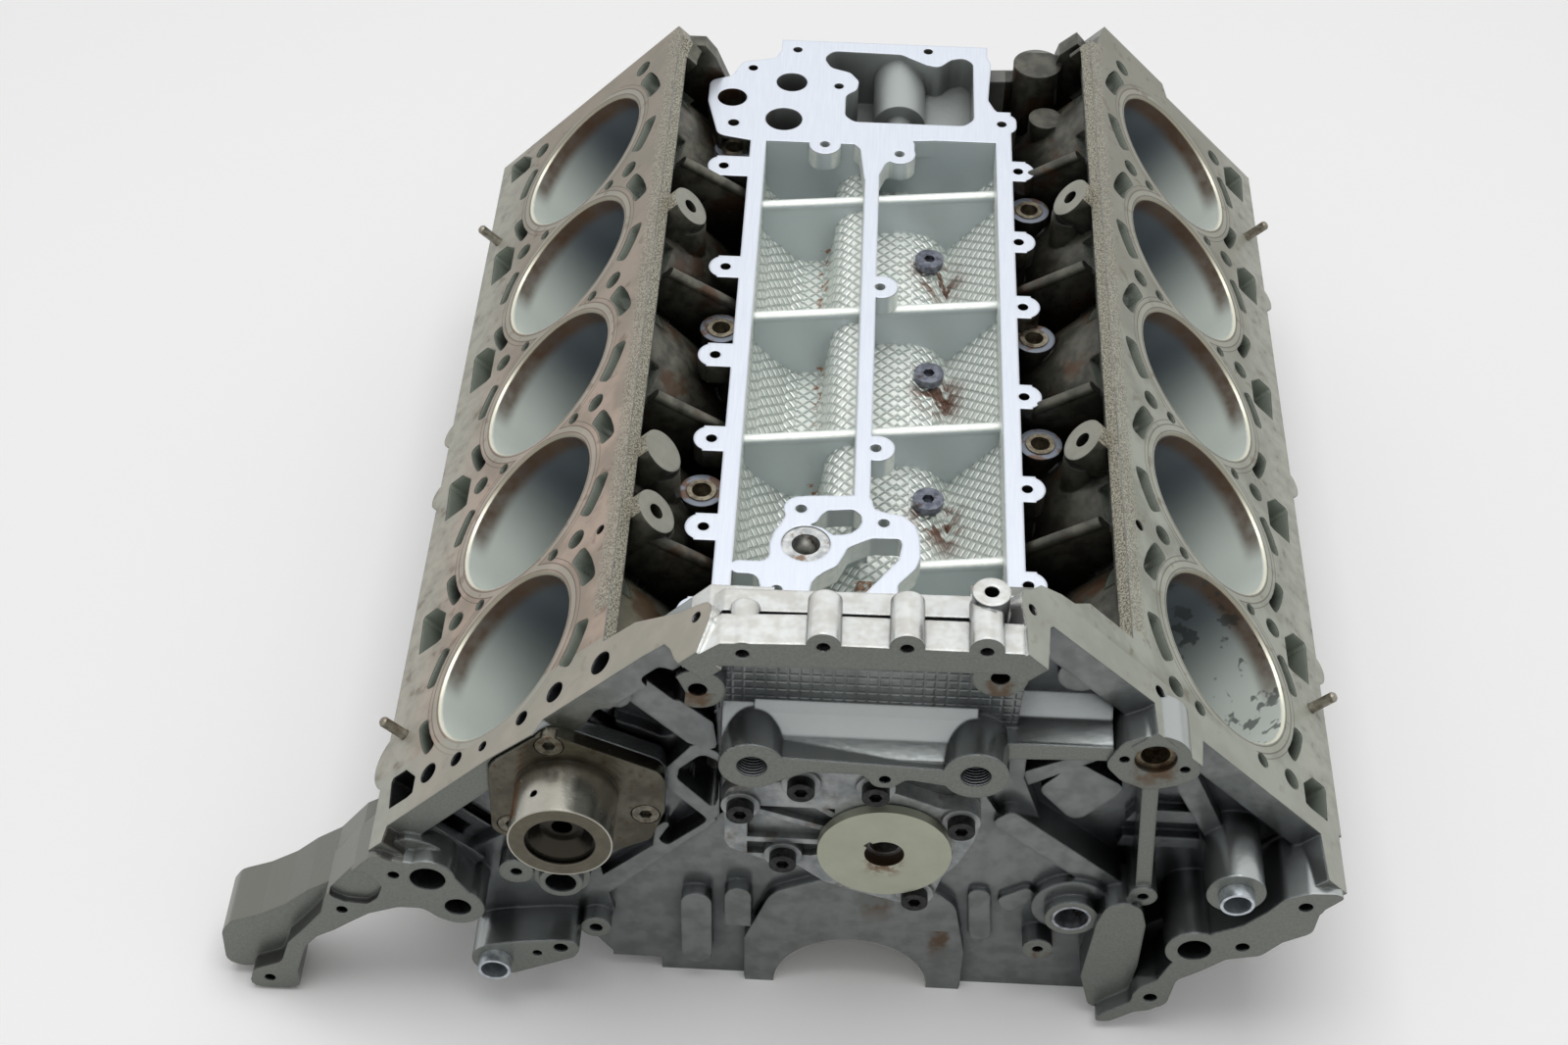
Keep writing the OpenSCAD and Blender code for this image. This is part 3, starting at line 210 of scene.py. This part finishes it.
CHAMBER, REAR_WALL, REAR_FACE = 362, 436, 445.5     # where each of them starts along the block
BEARING, BEARING_TOP = 36.2, 40         # radius and height of the main bearing seats
ON_PLANE, SQUARE = 0.35, 0.98           # how near a milled plane, and how square to it, its face is
CAST_EDGE = 0.4                         # how far below a milled face the cast wall starts

cast = Finish("block_cast_aluminium")
x, y, z, nx, ny, nz = cast.x, cast.y, cast.z, cast.nx, cast.ny, cast.nz
side, across = x.maths("SIGN"), x.size()
up_bore, outward = (across + z) * LEAN, (across - z) * LEAN
facing_deck, facing_valley = (side * nx + nz) * LEAN, (nz - side * nx) * LEAN
right_bank = x > 0

# Place along the bank, counted in bores, and distance from the axis of the nearest cylinder
steps = (y - right_bank * OFFSET) / PITCH
from_bore = steps.off_whole() * PITCH
radius = outward.far(from_bore)
in_bank = steps.between(-0.5, BORES - 0.5)

# Grain of several sizes, the long scratches of a cutter, and how deep in a hollow a place lies, which
# sets both oily dirt and painted shade
fine, lumps = cast.grain(0.9, 1.0), cast.grain(3.5, 2.0)
streak, blotch = cast.grain(9, 2.0), cast.grain(26, 3.0)
scratch = cast.grain(1.2, 1.0, (1.0, 0.06, 1.0))
dirt_and_shade = cast.hollow(24)

# Milled decks, honed bores and their chamfered mouths, coolant and oil pockets in the decks
deck = up_bore.near(DECK, ON_PLANE) * (facing_deck > SQUARE)
bore = (radius < BORE + 0.6) * (up_bore > BORE_FOOT) * in_bank * (1 - deck)
mouth = radius.between(BORE + 0.02, BORE + MOUTH_WIDTH) * (up_bore > DECK - MOUTH_DEPTH)
mouth = mouth * in_bank * (1 - deck)
pocket = up_bore.between(DECK - POCKET_DEPTH, DECK - CAST_EDGE) * (radius > BORE + 3)
pocket = pocket * (radius < JACKET).most(outward > 0) * (outward.size() < BANK_HALF)
pocket = pocket * y.between(CASE_END, REAR_WALL)

# Milled rail, the gallery's channels under it, the chamber behind them and the troughs beside them
rail = z.near(RAIL, ON_PLANE) * (nz > SQUARE) * (across < 100)
below_rail = z < RAIL - CAST_EDGE
gallery = (across < GALLERY_HALF) * (z > GALLERY_FLOOR) * below_rail
gallery = gallery * y.between(CASE_END - 1, CHAMBER)
chamber = (across < CHAMBER_HALF) * (z > CHAMBER_FLOOR) * below_rail
chamber = chamber * y.between(CHAMBER, REAR_WALL + 4)
trough = (across > RAIL_HALF - 1.5) * (z > TROUGH_FLOOR) * (up_bore < DECK - 0.6) * (outward < -40)
trough = trough * y.between(CASE_END, REAR_WALL)
lip = trough * (up_bore > DECK - 7.2) * (outward < -BANK_HALF)
boss_face = outward.near(BOSS_FACE, ON_PLANE) * (facing_valley > SQUARE)
socket_face = z.near(SOCKET_FACE, ON_PLANE) * (nz > SQUARE) * trough

# Chain end with its milled cover face, main bearing seats, joint with the lower half, rear face
front = (y < CASE_END) * (1 - deck) * (1 - bore)
milled = front * (ny < -SQUARE) * (y < CASE_FACE)
bearing = (x.far(z) < BEARING) * (z < BEARING_TOP)
joint = (nz < -SQUARE) * (z < 0.3)
rear = (ny > SQUARE) * (y > REAR_FACE)


def pad(across_pad, along_pad, pitch):
    """Raised squares: the lower of two folded ramps, flattened on top."""
    ramps = []
    for course in (across_pad / pitch, along_pad / pitch):
        part = course.maths("FRACT")
        ramps.append(part.least(1 - part))
    return ramps[0].least(ramps[1]).rise(0.0, 0.24)


# Quilted pads of the gallery's floors and slopes, and finer ones on the wall under the bridge
GALLERY_PAD, WALL_PAD, QUILT_TOP = 7.0, 4.7, 170
BRIDGE_WALL, WALL_FOOT, WALL_TOP, WALL_HALF = -51.5, 192, 247, 66
run = x * nz - z * nx
quilted = gallery * (ny.size() < 0.7) * (z < QUILT_TOP)
quilt = pad(y + run, y - run, GALLERY_PAD) * quilted
quilted_wall = z.between(WALL_FOOT, WALL_TOP) * (across < WALL_HALF) * (ny < -SQUARE)
quilted_wall = quilted_wall * y.near(BRIDGE_WALL, 1)
wall_quilt = pad(x, z, WALL_PAD) * quilted_wall

# Cast skin of the sides and the rear, with painted shade darkening its hollows
skin = cast.blend(blotch.rise(0.35, 0.7), tone(120, 122, 118), tone(150, 152, 147))
skin = cast.blend(dirt_and_shade.rise(0.25, 0.8) * 0.75, skin, tone(38, 36, 32))

# Chain end: painted light makes it brighter where it looks up; brownish on the horn; painted shade,
# bluish and then black, in its recesses; the rough casting over the bridge pale and painted almost white
# where it faces up; grey on the milled cover face
BRIDGE_TOP, HORN = 242, -200
# Painted light: the casting over the bridge turns almost white where it faces up, less so in its hollows
lit_bridge_top = (z > BRIDGE_TOP) * nz.rise(0.2, 0.6) * (1 - dirt_and_shade.rise(0.3, 0.7) * 0.6)
metal = cast.coat(
    cast.blend(streak.rise(0.3, 0.7), tone(108, 111, 109), tone(126, 129, 128)),
    (nz.rise(0.1, 0.85), tone(172, 177, 176)),
    ((x < HORN) * 0.75, tone(88, 85, 74)),
    (dirt_and_shade.rise(0.14, 0.42) * 0.55, tone(82, 85, 94)),
    (dirt_and_shade.rise(0.34, 0.75) * 0.94, tone(13, 13, 14)),
    (lit_bridge_top, cast.blend(streak.rise(0.35, 0.65), tone(206, 205, 200), tone(224, 227, 225))),
    (milled, cast.blend(scratch, tone(98, 101, 96), tone(124, 127, 121))))


def weep(from_x, from_z, length, reach):
    """Oil that has run down the chain end from a place, thinner the lower it is."""
    beside = 1 - (x - from_x + (lumps - 0.5) * 6).size().rise(reach * 0.4, reach)
    below = (z < from_z) * (1 - (from_z - z).rise(length * 0.4, length))
    return beside * below * front


# Oil has run from under the hub, from both ends of the bridge, and from three ports on the right
HUB_WEEP = (10, 82, 34, 9)
BRIDGE_WEEPS = ((53, 228, 16, 8), (-70, 212, 16, 9))
PORT_WEEPS = ((122, 182, 22, 12), (88, 42, 22, 7), (40, 46, 26, 6))
oil = weep(*HUB_WEEP).most(*[weep(*place) for place in BRIDGE_WEEPS + PORT_WEEPS])

# Troughs between the banks and the gallery: sandy walls near the top, black oil lower down, and black in
# their hollows from oil and painted shade
walls = cast.coat(
    cast.blend(streak.rise(0.3, 0.7), tone(66, 65, 57), tone(112, 111, 99)),
    (right_bank * 0.35, tone(34, 34, 31)),
    ((y < 40) * (1 - right_bank) * (z > 176) * 0.6, tone(120, 116, 94)),
    (blotch.rise(0.5, 0.62) * (z < 190) * 0.75, tone(78, 50, 26)),
    (dirt_and_shade.rise(0.22, 0.66), tone(12, 11, 10)),
    ((1 - z.rise(150, 177)) * 0.85, tone(9, 8, 7)))
grit = cast.blend(fine.rise(0.35, 0.65), tone(92, 88, 76), tone(176, 172, 156))
boss_metal = cast.blend(streak, tone(128, 128, 118), tone(164, 163, 152))
ring_stain = cast.blend(streak.rise(0.52, 0.6) * 0.8, tone(126, 132, 142), tone(104, 74, 48))

# Gallery: bright castings, with painted shade on upright walls, in hollows and between the pads. Each of
# the three jets in the right channel has spilled brown oil, and more lies in the left channel and near
# the front.
JETS, FIRST_JET, JET_X, TRICKLE_X = 3, 119, 32, -27
jets = (y - FIRST_JET) / PITCH
from_jet = jets.off_whole() * PITCH
spill = 1 - (x - JET_X).far((from_jet + 4) * 0.5 ** 0.5).rise(5, 19)  # longer along the channel
spill = spill * streak.rise(0.46, 0.56) * (z < 168) * jets.between(-0.5, JETS - 0.5) * (x > 0)
trickle = (1 - (x - TRICKLE_X).size().rise(1, 5)) * (z < 140) * lumps.rise(0.55, 0.62) * (x < 0)
sump = (y < 66) * (z < 168) * streak.rise(0.5, 0.58) * x.between(-16, 14)
bright = cast.coat(
    cast.blend(lumps.rise(0.3, 0.7), tone(230, 236, 232), tone(246, 248, 243)),
    (ny.size().rise(0.8, 0.95), tone(200, 208, 210)),
    (dirt_and_shade.rise(0.35, 0.95) * 0.4, tone(120, 127, 126)),
    (quilted * (1 - quilt) * 0.55, tone(150, 159, 153)),
    (spill * 0.9, tone(104, 56, 22)),
    (sump.most(trickle) * 0.8, tone(146, 88, 36)))
# Chamber behind the gallery: pale casting, with painted shade in its hollows
chamber_metal = cast.blend(dirt_and_shade.rise(0.2, 0.8), tone(172, 178, 176), tone(56, 56, 52))

# Decks: a brown cast on the left, a green one on the right, both greyer towards the rear and on the
# outer side, the prints of the gaskets around the bores, and a strip of rough casting along the valley
warm = cast.blend(right_bank, tone(174, 155, 141), tone(158, 162, 150))
warm_shade = cast.blend(right_bank, tone(146, 132, 118), tone(132, 135, 123))
outer = cast.blend(streak.rise(0.35, 0.65), tone(172, 173, 162), tone(150, 152, 142))
inner_print, middle_print, outer_print = [
    radius.near(line, half_width) for line, half_width in ((44.3, 0.3), (47.8, 0.35), (50.3, 0.25))]
print_lines = inner_print.most(middle_print, outer_print) * in_bank
plate = cast.coat(
    cast.blend(blotch.rise(0.35, 0.65), warm, warm_shade),
    (y.rise(90, 330) * 0.7, tone(128, 125, 113)),
    (outward.rise(34, 70) * 0.75, outer),
    (radius.near(46, 1.3) * in_bank * 0.5, tone(164, 164, 152)),
    (print_lines * 0.65, tone(78, 66, 54)),
    (streak.rise(0.6, 0.72) * 0.5, tone(98, 80, 60)),
    ((1 - outward.rise(-65, -58)) * (y > -12) * 0.75, grit),
    ((y < -30) * 0.55, tone(158, 161, 151)))
# Pockets in the decks: pale casting, with painted shade deep inside them
pocket_metal = cast.blend(dirt_and_shade.rise(0.6, 1.0), tone(166, 175, 162), tone(40, 40, 38))

# Bores: honed, with painted light on the outer chain-side quarter and painted shade on the far side,
# stained below the rim and pitted in the first right one
toward_lit_wall = (outward - from_bore) / BORE
scorch = up_bore.rise(215, 222) * from_bore.rise(0, 16) * (streak * 0.6 + 0.5).least(0.95)
pits = streak.rise(0.56, 0.62) * right_bank * (y < 65) * (up_bore > 120)
wall = cast.coat(
    cast.blend(toward_lit_wall.rise(-1.0, 0.8), tone(92, 99, 108), tone(238, 246, 238)),
    (scorch, tone(92, 62, 34)),
    (pits * 0.7, tone(58, 62, 62)))
# The chamfered mouths carry the same painted light and painted shade
rim_metal = cast.blend(toward_lit_wall.rise(-0.4, 0.6), tone(150, 146, 130), tone(224, 223, 206))

# The whole block, from its skin to its milled faces
colour = cast.coat(
    skin,
    (front, metal),
    (oil * streak.rise(0.3, 0.6) * 0.85, tone(84, 60, 34)),
    (trough, walls),
    (lip, grit),
    (boss_face * (1 - bore), boss_metal),
    (socket_face, ring_stain),
    (gallery, bright),
    (chamber, chamber_metal),
    (pocket, pocket_metal),
    (deck, plate),
    (bore, wall),
    (mouth, rim_metal),
    (rail, cast.blend(scratch, tone(216, 223, 235), tone(231, 236, 244))),
    (bearing.most(joint, rear), tone(168, 168, 162)))

# Cut faces are smoother than cast ones, and oil makes the troughs and the chain end shine
machined = rail.most(bearing, joint, milled, mouth, rear, socket_face)
roughness = cast.coat(0.5, (front, 0.25), (trough * (1 - lip), dirt_and_shade * -0.4 + 0.44),
                      (bore, 0.28), (machined, 0.36), (deck, 0.46))
metallic = cast.coat(0.6, (trough, 0.25), (front, 0.9), (deck.most(bore), 0.3), (machined, 0.75))

# Relief: cast grain, the quilted pads, and the threads of the two large screw holes
HOLE_X, HOLE_Z, HOLE_REACH = 46.7, 182.7, 7
in_hole = ((across - HOLE_X).size() < HOLE_REACH) * ((z - HOLE_Z).size() < HOLE_REACH)
threads = ((y * 4.2).maths("SINE") + 1) * in_hole * (ny.size() < 0.3)
flat = deck.most(machined, bore)
height = lumps * 0.3 * (1 - flat) * (1 - gallery * 0.7) * (1 - front * 0.6)
height = height + quilt * 1.5 + wall_quilt * 0.45 + threads * front * 0.7
wear("cylinder_block", cast.surface(colour, roughness, metallic, height, depth_mm=0.45, edge_mm=1.6))


# Locating pins of the heads. Short ground steel pins, driven into the decks by their lower half.
def steel(name, low, high, roughness, grain_mm, stain=None, stain_from=0.55, edge_mm=0.4):
    """Plain steel with blotches between two tones, painted shade in its hollows, fine scratches and, if
    given, patches of a stain.
    """
    finish = Finish(name)
    patches = finish.grain(grain_mm, 3.0)
    coats = [(finish.hollow(4).rise(0.3, 0.9) * 0.7, tone(16, 15, 14))]
    if stain:
        spots = finish.grain(grain_mm * 1.7, 4.0).rise(stain_from, stain_from + 0.12)
        coats.insert(0, (spots * 0.8, stain))
    colour = finish.coat(finish.blend(patches.rise(0.3, 0.7), low, high), *coats)
    return finish.surface(colour, patches * 0.2 + roughness, 0.85, finish.grain(0.7),
                          depth_mm=0.04, edge_mm=edge_mm)


pin_steel = steel("pin_steel", tone(120, 112, 98), tone(160, 156, 146), 0.3, 4.0, tone(92, 60, 36))
wear("head_dowels_left", pin_steel)
wear("head_dowels_right", pin_steel)


# Idler axle. A forged steel plate with a ground journal on it, held by three socket screws. The plate
# is brown with baked oil, and the journal has worn to a copper tint at its root.
AXLE_X, AXLE_Z, PLATE_FRONT = -127, 145.6, -64
RIM, DISH = 21.8, 15.3          # radii inside the journal's rim and of the dish in its end
axle = Finish("axle_steel")
out_of_plate = axle.y < PLATE_FRONT
axle_range = (axle.x - AXLE_X).far(axle.z - AXLE_Z)
axle_blotch, axle_streak = axle.grain(14, 4.0), axle.grain(4, 3.0)
forged = axle.blend(axle_blotch.rise(0.35, 0.65), tone(70, 67, 58), tone(92, 89, 78))
forged = axle.blend(axle_streak.rise(0.55, 0.7) * 0.6, forged, tone(70, 52, 34))
copper = (1 - (axle.x - (AXLE_X - 19)).size().rise(3, 7)) * (axle.z < 158) * (axle.y > -86)
ground = axle.coat(
    axle.blend(axle_blotch, tone(150, 148, 137), tone(188, 186, 176)),
    (copper * 0.8, tone(168, 112, 74)),
    ((1 - (axle.y - PLATE_FRONT).size().rise(1, 5)) * 0.6, tone(70, 56, 40)))
core = (axle_range < RIM) * (axle.ny < -0.5) * out_of_plate
axle_colour = axle.coat(
    forged,
    (out_of_plate, ground),
    (core, axle.blend(axle_streak, tone(74, 70, 60), tone(104, 99, 86))),
    ((axle_range < DISH) * out_of_plate, tone(50, 47, 41)),
    # Painted shade in the hollows
    (axle.hollow(6).rise(0.35, 0.9) * 0.8, tone(14, 12, 10)))
turned = (axle_range * 2.2).maths("SINE") * 0.2 * (axle.ny < -0.9)
wear("idler_axle", axle.surface(axle_colour, axle_streak * 0.2 + 0.14, 0.95,
                                axle.grain(1.0) * 0.5 + turned, depth_mm=0.06, edge_mm=1.0))
wear("idler_screws", steel("idler_screw_steel", tone(84, 80, 70), tone(128, 124, 112), 0.34, 3.0,
                           tone(88, 58, 34), edge_mm=0.5))


# Cover of the balance shaft. A thin aluminium casting with a fan of ribs, dull and oil-stained, under
# six black socket screws.
cover = Finish("cover_cast_aluminium")
cover_colour = cover.coat(
    cover.blend(cover.grain(12, 4.0).rise(0.3, 0.7), tone(120, 124, 126), tone(164, 167, 166)),
    (cover.grain(20, 4.0).rise(0.56, 0.68) * 0.6, tone(86, 72, 54)),
    # Painted shade in its hollows
    (cover.hollow(9).rise(0.18, 0.7) * 0.85, tone(22, 22, 22)))
wear("shaft_housing", cover.surface(cover_colour, 0.42, 0.6,
                                    cover.grain(0.9) * 0.5 + cover.grain(4) * 0.5,
                                    depth_mm=0.2, edge_mm=1.2))
wear("housing_screws", steel("black_screw_steel", tone(30, 30, 31), tone(58, 58, 58), 0.36, 3.0,
                             edge_mm=0.6))


# Balance shaft and its hub, a pale turned disc with a keyed bore. Oil has run out of the bore and left
# a brown patch below it. The shaft is ground and turns in two bronze bushes, and a pressed steel cup
# closes its tunnel at the rear.
SHAFT_X, SHAFT_Z, KEYED_BORE = 11.5, 114, 8.8
hub = Finish("hub_steel")
hub_range = (hub.x - SHAFT_X).far(hub.z - SHAFT_Z)
run_down = (hub.z < SHAFT_Z - 2) * (1 - (hub.x - 11).size().rise(5, 11)) * (1 - hub_range.rise(9, 19))
run_down = run_down * hub.grain(5, 3.0).rise(0.4, 0.6)
hub_colour = hub.coat(
    hub.blend(hub.grain(16, 4.0), tone(154, 157, 139), tone(178, 180, 163)),
    (run_down * 0.85, tone(98, 62, 30)),
    (hub_range < KEYED_BORE, tone(58, 44, 30)))
hub_turning = (hub_range * 6.0).maths("SINE") * 0.5 + hub.grain(1.0) * 0.5
wear("balance_hub", hub.surface(hub_colour, 0.4, 0.6, hub_turning, depth_mm=0.03, edge_mm=0.5))
wear("balance_shaft", steel("shaft_steel", tone(112, 112, 112), tone(150, 150, 148), 0.3, 9.0,
                            tone(90, 70, 48)))
bronze = steel("bearing_bronze", tone(150, 112, 62), tone(186, 146, 88), 0.28, 5.0, tone(92, 62, 34))
wear("front_bush", bronze)
wear("rear_bush", bronze)
wear("tunnel_plug", steel("plug_steel", tone(140, 142, 142), tone(172, 174, 172), 0.34, 7.0,
                          tone(110, 84, 56)))


# Locating sleeves of the chain cover. Thin rolled steel tubes, bright, with an oily bore.
sleeve = steel("sleeve_steel", tone(168, 176, 184), tone(206, 212, 216), 0.22, 4.0,
               tone(120, 110, 92), stain_from=0.62)
wear("locating_sleeve_left", sleeve)
wear("locating_sleeve_right", sleeve)


# Gallery fittings. Dark plug screws over the oil jets, the bright bush and ball of the non-return
# valve, and steel bushes pressed into the sockets beside the gallery.
wear("gallery_jets", steel("jet_steel", tone(92, 96, 108), tone(136, 140, 150), 0.26, 3.0,
                           tone(70, 48, 30)))
wear("valve_seat", steel("valve_steel", tone(168, 172, 174), tone(214, 216, 214), 0.24, 4.0,
                         tone(120, 84, 50)))
wear("valve_ball", steel("ball_steel", tone(180, 176, 166), tone(220, 216, 206), 0.12, 3.0))
wear("socket_bushes", steel("socket_steel", tone(96, 88, 74), tone(156, 148, 130), 0.3, 4.0,
                            tone(60, 44, 28), stain_from=0.6))


# Port fittings on the chain side. The insert under the right arm is brown with oil, and the tube of
# the lower port is bright inside.
wear("port_insert", steel("insert_steel", tone(70, 62, 50), tone(120, 108, 88), 0.3, 3.0,
                          tone(84, 50, 28)))
wear("port_sleeve", steel("tube_steel", tone(120, 124, 132), tone(176, 178, 182), 0.26, 3.0,
                          tone(90, 60, 40)))


# Stage. A plain pale floor under the block, one large soft box overhead, and a white studio around it
# that lights the block at half strength. The studio shows its full white where the camera, or a
# reflection, sees past the floor.
FLOOR_REACH, PALE, WHITE = 4.0, (0.98, 0.98, 0.98, 1), (1, 1, 1, 1)
corners = [(across_floor * FLOOR_REACH, along_floor * FLOOR_REACH, 0)
           for across_floor, along_floor in ((-1, -1), (1, -1), (1, 1), (-1, 1))]
floor_mesh = bpy.data.meshes.new("floor")
floor_mesh.from_pydata(corners, [], [(0, 1, 2, 3)])
floor = bpy.data.objects.new("floor", floor_mesh)
bpy.context.scene.collection.objects.link(floor)
pale = bpy.data.materials.new("pale_floor")
pale.use_nodes = True
paint = pale.node_tree.nodes["Principled BSDF"].inputs
paint["Base Color"].default_value = PALE
paint["Roughness"].default_value = 0.9
floor_mesh.materials.append(pale)

STUDIO_LIGHT = 0.5
studio = bpy.data.worlds.new("studio")
bpy.context.scene.world = studio
studio.use_nodes = True
sky = Graph(studio.node_tree)
by_camera, through_glass, mirrored = [
    sky.node("ShaderNodeLightPath", out=ray)
    for ray in ("Is Camera Ray", "Is Transmission Ray", "Is Glossy Ray")]
seen = by_camera.most(through_glass, mirrored)
backdrop = sky.node("ShaderNodeBackground", None,
                    {"Color": WHITE, "Strength": seen * (1 - STUDIO_LIGHT) + STUDIO_LIGHT})
sky.node("ShaderNodeOutputWorld", None, {"Surface": backdrop})

lamp = bpy.data.lights.new("key_light", "AREA")
lamp.shape, lamp.size, lamp.energy = "SQUARE", 1.6, 23
key_light = bpy.data.objects.new("key_light", lamp)
key_light.location = (0.0, 0.15, 2.2)
bpy.context.scene.collection.objects.link(key_light)
bpy.context.scene.view_settings.view_transform = "Standard"
